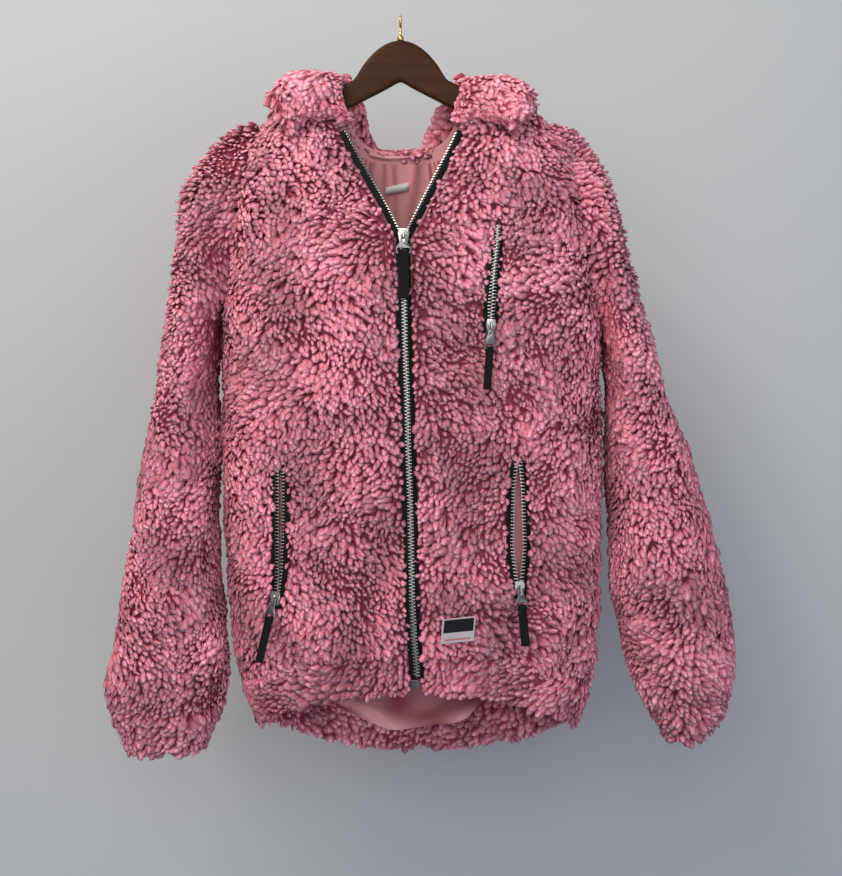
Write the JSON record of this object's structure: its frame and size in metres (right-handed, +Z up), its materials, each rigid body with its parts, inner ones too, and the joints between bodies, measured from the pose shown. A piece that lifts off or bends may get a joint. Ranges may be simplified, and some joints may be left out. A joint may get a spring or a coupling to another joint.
{
  "type": "fleece jacket on a hanger",
  "caption": "Hooded teddy-fleece zip jacket with open zip pockets, hood dropped back, hanging on a flat wooden hanger with a metal eye.",
  "frame": {"origin": "inner top of the hanger's eye, where it hangs", "axes": "+Z up, -Y the front of the jacket, +X the wearer's left"},
  "size_m": [0.7252, 0.2699, 0.8528],
  "materials": {
    "fleece": "long curly teddy pile, soft pink with deeper rose between the locks",
    "satin": "thin pink lining satin with a soft sheen",
    "black_tape": "matt black woven zip tape and strap",
    "zip_metal": "polished silver zip metal, slightly worn",
    "patch": "white woven patch cloth with a plain black block",
    "walnut": "dark brown satin lacquer with fine grain",
    "brass": "dull brass wire"
  },
  "bodies": {
    "jacket": {"right_front": "fleece", "left_front": "fleece", "back": "fleece", "hem_right_front": "fleece", "hem_left_front": "fleece", "hem_back": "fleece", "right_sleeve": "fleece", "right_cuff": "fleece", "left_sleeve": "fleece", "left_cuff": "fleece", "hood_right": "fleece", "hood_left": "fleece", "zip_tape_right": "black_tape", "zip_tape_left": "black_tape", "right_pocket_tape_outer": "black_tape", "right_pocket_tape_inner": "black_tape", "left_pocket_tape_outer": "black_tape", "left_pocket_tape_inner": "black_tape", "chest_pocket_tape_outer": "black_tape", "chest_pocket_tape_inner": "black_tape", "right_pocket_facing": "satin", "left_pocket_facing": "satin", "chest_pocket_facing": "satin", "lining_back": "satin", "neck_facing": "satin", "hang_loop": "satin", "main_slider": "zip_metal", "right_pocket_slider": "zip_metal", "left_pocket_slider": "zip_metal", "chest_pocket_slider": "zip_metal", "zip_box": "zip_metal", "hem_patch": "patch", "neck_label": "patch", "hanger_body": "walnut", "hanger_stem": "brass"},
    "main_pull": {"main_pull_tab": "zip_metal", "main_pull_strap": "black_tape"},
    "right_pocket_pull": {"right_pocket_pull_tab": "zip_metal", "right_pocket_pull_strap": "black_tape"},
    "left_pocket_pull": {"left_pocket_pull_tab": "zip_metal", "left_pocket_pull_strap": "black_tape"},
    "chest_pocket_pull": {"chest_pocket_pull_tab": "zip_metal", "chest_pocket_pull_strap": "black_tape"}
  },
  "joints": [
    {"name": "main_pull_swing", "type": "hinge", "parent": "jacket", "child": "main_pull", "pos_m": [0.00461, -0.08924, -0.26159], "axis": [-1, -0.0052, 0], "range_deg": [0, 150]},
    {"name": "right_pocket_pull_swing", "type": "hinge", "parent": "jacket", "child": "right_pocket_pull", "pos_m": [-0.13842, -0.07502, -0.66005], "axis": [-0.9132, 0.3775, 0.1534], "range_deg": [0, 150]},
    {"name": "left_pocket_pull_swing", "type": "hinge", "parent": "jacket", "child": "left_pocket_pull", "pos_m": [0.1327, -0.08048, -0.64829], "axis": [-0.9639, -0.2662, 0], "range_deg": [0, 150]},
    {"name": "chest_pocket_pull_swing", "type": "hinge", "parent": "jacket", "child": "chest_pocket_pull", "pos_m": [0.10037, -0.0884, -0.36106], "axis": [-0.989, -0.1198, 0.0868], "range_deg": [0, 150]}
  ]
}
